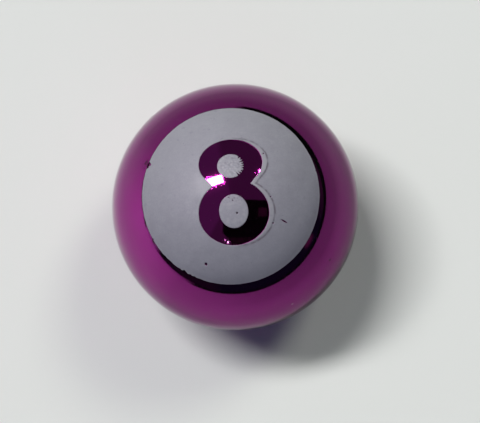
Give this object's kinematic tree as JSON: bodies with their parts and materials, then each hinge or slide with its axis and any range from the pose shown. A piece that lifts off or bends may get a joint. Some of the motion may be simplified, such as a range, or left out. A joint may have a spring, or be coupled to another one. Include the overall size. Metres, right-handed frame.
{
  "type": "ball valve cap",
  "caption": "Small ball-shaped screw-on tyre valve cap, mirror-plated purple, with the numeral 8 in a white enamelled disc on its crown.",
  "frame": {"origin": "centre of the collar's end face, which the cap stands on", "axes": "+Z from the mouth to the crown along the thread's axis; +Y is the top of the numeral; +X is its right-hand side"},
  "size_m": [0.016, 0.016, 0.0157],
  "materials": {
    "purple_plating": "moulded ABS with mirror plating under a purple tinted lacquer",
    "white_enamel": "off-white printed enamel, semi-gloss, slightly pitted",
    "brass": "turned, knurled outside",
    "black_rubber": "matt die-cut sheet"
  },
  "bodies": {
    "root": {"ball_shell": "purple_plating", "number_field": "white_enamel", "upper_counter": "white_enamel", "lower_counter": "white_enamel", "threaded_insert": "brass", "seal_washer": "black_rubber"}
  },
  "joints": []
}
